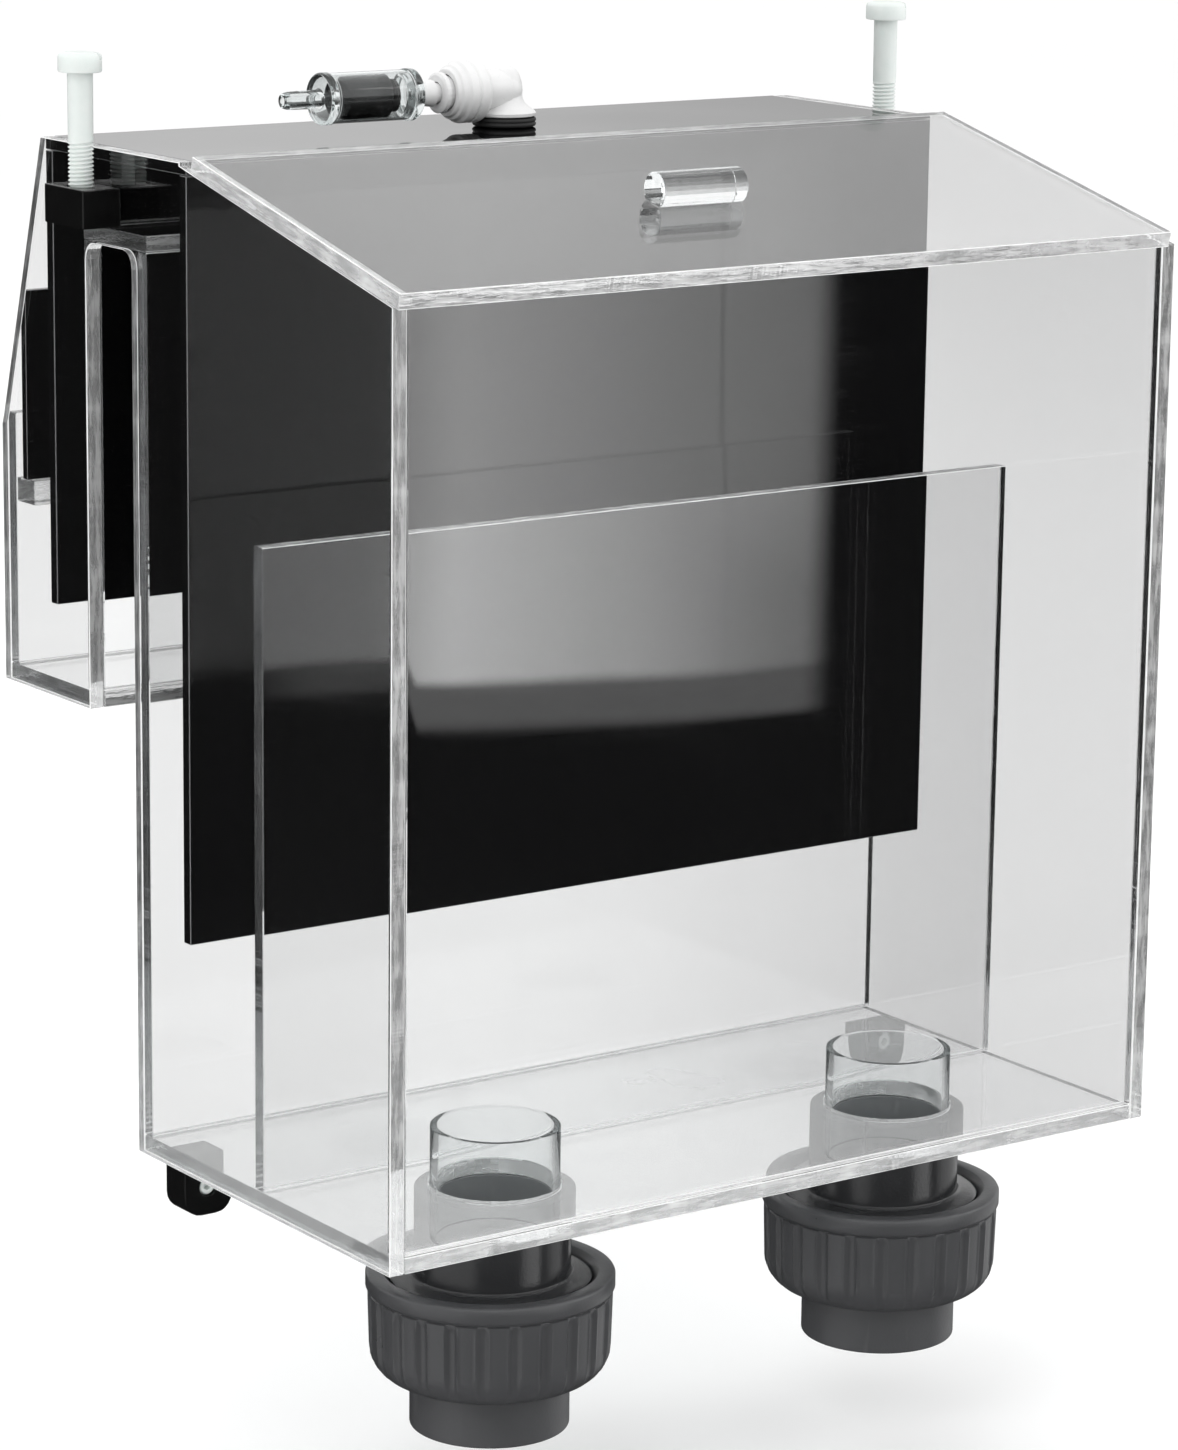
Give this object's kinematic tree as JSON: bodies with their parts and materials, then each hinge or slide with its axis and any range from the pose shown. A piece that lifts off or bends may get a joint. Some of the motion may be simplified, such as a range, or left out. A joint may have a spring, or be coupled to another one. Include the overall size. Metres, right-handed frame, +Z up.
{
  "type": "siphon overflow box",
  "caption": "Hang-on siphon overflow box: clear outer chamber and toothed inner weir box joined over a tank rim by a black siphon cover, with drain unions, nylon screws and check valve.",
  "frame": {"origin": "middle of the rim slot across the width, on the underside of the bridge plate that rests on the tank rim", "axes": "+Z up, +Y into the tank, +X to the right as seen from outside the tank"},
  "size_m": [0.3178, 0.2316, 0.4213],
  "materials": {
    "clear": "polished clear acrylic sheet",
    "black": "polished black acrylic",
    "white": "natural milky nylon",
    "grey": "dark grey moulded PVC",
    "rubber": "matte black rubber"
  },
  "bodies": {
    "box": {"side_panel_left": "clear", "side_panel_right": "clear", "outer_floor": "clear", "outer_front_panel": "clear", "outer_rear_panel": "clear", "chamber_baffle": "clear", "bridge_plate": "clear", "inner_front_panel": "clear", "inner_floor": "clear", "weir_panel": "clear", "comb_ledge": "clear", "siphon_top": "black", "siphon_front_sheet": "black", "siphon_rear_sheet": "black", "rim_block_left": "black", "rim_block_right": "black", "foot_block_left": "black", "foot_block_right": "black", "union_socket_left": "grey", "union_socket_right": "grey", "air_grommet": "rubber"},
    "lid": {"lid": "clear", "lid_knob": "clear"},
    "level_screw_left": {"level_screw_left": "white"},
    "level_screw_right": {"level_screw_right": "white"},
    "foot_screw_left": {"foot_screw_left": "white"},
    "foot_screw_right": {"foot_screw_right": "white"},
    "comb": {"weir_comb": "black"},
    "standpipe_left": {"standpipe_left": "clear"},
    "standpipe_right": {"standpipe_right": "clear"},
    "union_lower_left": {"union_tail_left": "grey", "union_oring_left": "rubber"},
    "union_lower_right": {"union_tail_right": "grey", "union_oring_right": "rubber"},
    "union_nut_left": {"union_nut_left": "grey"},
    "union_nut_right": {"union_nut_right": "grey"},
    "elbow": {"air_elbow": "white"},
    "collet": {"elbow_collet": "white"},
    "check_valve": {"valve_cap": "clear", "valve_shell": "clear", "valve_core": "black"},
    "valve_disc": {"valve_disc": "rubber"}
  },
  "joints": [
    {"name": "lid_lift", "type": "slide", "parent": "box", "child": "lid", "axis": [0, 0, 1], "range_m": [0, 0.12]},
    {"name": "level_screw_left_turn_travel", "type": "slide", "parent": "box", "child": "level_screw_left", "axis": [0, 0, 1], "range_m": [-0.034, 0.005]},
    {"name": "level_screw_right_turn_travel", "type": "slide", "parent": "box", "child": "level_screw_right", "axis": [0, 0, 1], "range_m": [-0.039, 0.001]},
    {"name": "foot_screw_left_travel", "type": "slide", "parent": "box", "child": "foot_screw_left", "axis": [0, 1, 0], "range_m": [0, 0.006]},
    {"name": "foot_screw_right_travel", "type": "slide", "parent": "box", "child": "foot_screw_right", "axis": [0, 1, 0], "range_m": [0, 0.006]},
    {"name": "comb_lift", "type": "slide", "parent": "box", "child": "comb", "axis": [0, 0, 1], "range_m": [0, 0.06]},
    {"name": "standpipe_left_lift", "type": "slide", "parent": "box", "child": "standpipe_left", "axis": [0, 0, 1], "range_m": [0, 0.045]},
    {"name": "union_left_part", "type": "slide", "parent": "box", "child": "union_lower_left", "axis": [0, 0, -1], "range_m": [0, 0.03]},
    {"name": "union_nut_left_spin", "type": "hinge", "parent": "union_lower_left", "child": "union_nut_left", "pos_m": [-0.0765, -0.1103, -0.327], "axis": [0, 0, 1], "continuous": true},
    {"name": "standpipe_right_lift", "type": "slide", "parent": "box", "child": "standpipe_right", "axis": [0, 0, 1], "range_m": [0, 0.045]},
    {"name": "union_right_part", "type": "slide", "parent": "box", "child": "union_lower_right", "axis": [0, 0, -1], "range_m": [0, 0.03]},
    {"name": "union_nut_right_spin", "type": "hinge", "parent": "union_lower_right", "child": "union_nut_right", "pos_m": [0.0765, -0.1103, -0.327], "axis": [0, 0, 1], "continuous": true},
    {"name": "elbow_swivel", "type": "hinge", "parent": "box", "child": "elbow", "pos_m": [0, -0.0003, 0.0413], "axis": [0, 0, 1], "continuous": true},
    {"name": "collet_press", "type": "slide", "parent": "elbow", "child": "collet", "axis": [1, 0, 0], "range_m": [0, 0.001]},
    {"name": "check_valve_twist", "type": "hinge", "parent": "elbow", "child": "check_valve", "pos_m": [0, -0.0003, 0.0413], "axis": [1, 0, 0], "continuous": true},
    {"name": "valve_disc_lift", "type": "slide", "parent": "check_valve", "child": "valve_disc", "axis": [1, 0, 0], "range_m": [-0.001, 0.003]}
  ]
}
